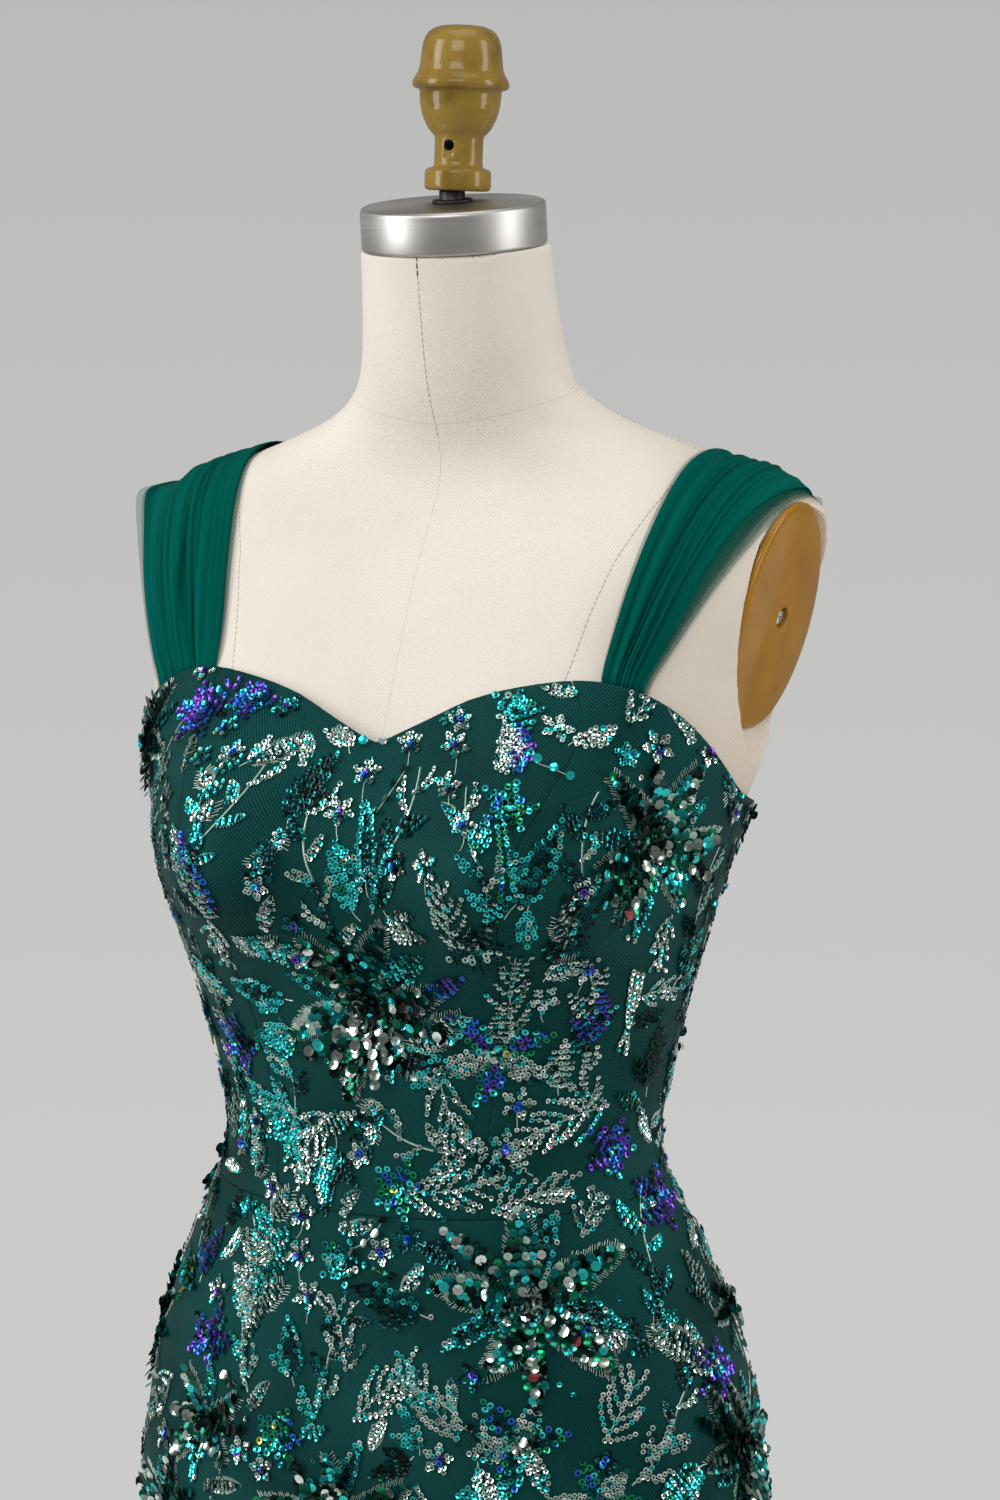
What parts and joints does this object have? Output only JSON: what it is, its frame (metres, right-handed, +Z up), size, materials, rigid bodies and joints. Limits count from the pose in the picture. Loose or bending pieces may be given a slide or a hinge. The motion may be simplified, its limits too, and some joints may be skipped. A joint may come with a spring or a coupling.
{
  "type": "homecoming dress on a limbless dress form",
  "caption": "Short fitted homecoming dress with a sweetheart neckline and wide gathered tulle straps, worn by a limbless canvas dress form on a round stand.",
  "frame": {"origin": "middle of the stand's base, on the floor, below the middle of the bounding box", "axes": "+Z up; the dress faces -Y; the wearer's left is +X"},
  "size_m": [0.424, 0.424, 1.6496],
  "materials": {
    "sequinned_net": "fine net over satin, with sequins",
    "tulle": "soft matt tulle",
    "zip_cloth": "matt",
    "zip_metal": "satin",
    "canvas": "matt twill",
    "steel": "brushed",
    "chrome": "polished",
    "black_metal": "satin",
    "knob_paint": "gloss",
    "plate_gloss": "gloss",
    "stand_metal": "satin"
  },
  "bodies": {
    "dressed_form": {"bodice_front": "sequinned_net", "bodice_side_front_left": "sequinned_net", "bodice_side_front_right": "sequinned_net", "bodice_back_left": "sequinned_net", "bodice_back_right": "sequinned_net", "skirt_front": "sequinned_net", "skirt_back_left": "sequinned_net", "skirt_back_right": "sequinned_net", "strap_left": "tulle", "strap_right": "tulle", "zip_tape": "zip_cloth", "zip_slider": "zip_metal", "form_body": "canvas", "neck_cap": "steel", "knob_bolt": "black_metal", "knob": "knob_paint", "arm_plate_left": "plate_gloss", "arm_plate_right": "plate_gloss", "plate_screw_left": "chrome", "plate_screw_right": "chrome", "stand_collar": "stand_metal", "stand_pole": "stand_metal", "stand_base": "stand_metal"},
    "zip_tab": {"zip_pull": "zip_metal"}
  },
  "joints": [
    {"name": "zip_tab_flip", "type": "hinge", "parent": "dressed_form", "child": "zip_tab", "pos_m": [0, 0.12001, 1.21403], "axis": [1, 0, 0], "range_deg": [0, 165]}
  ]
}
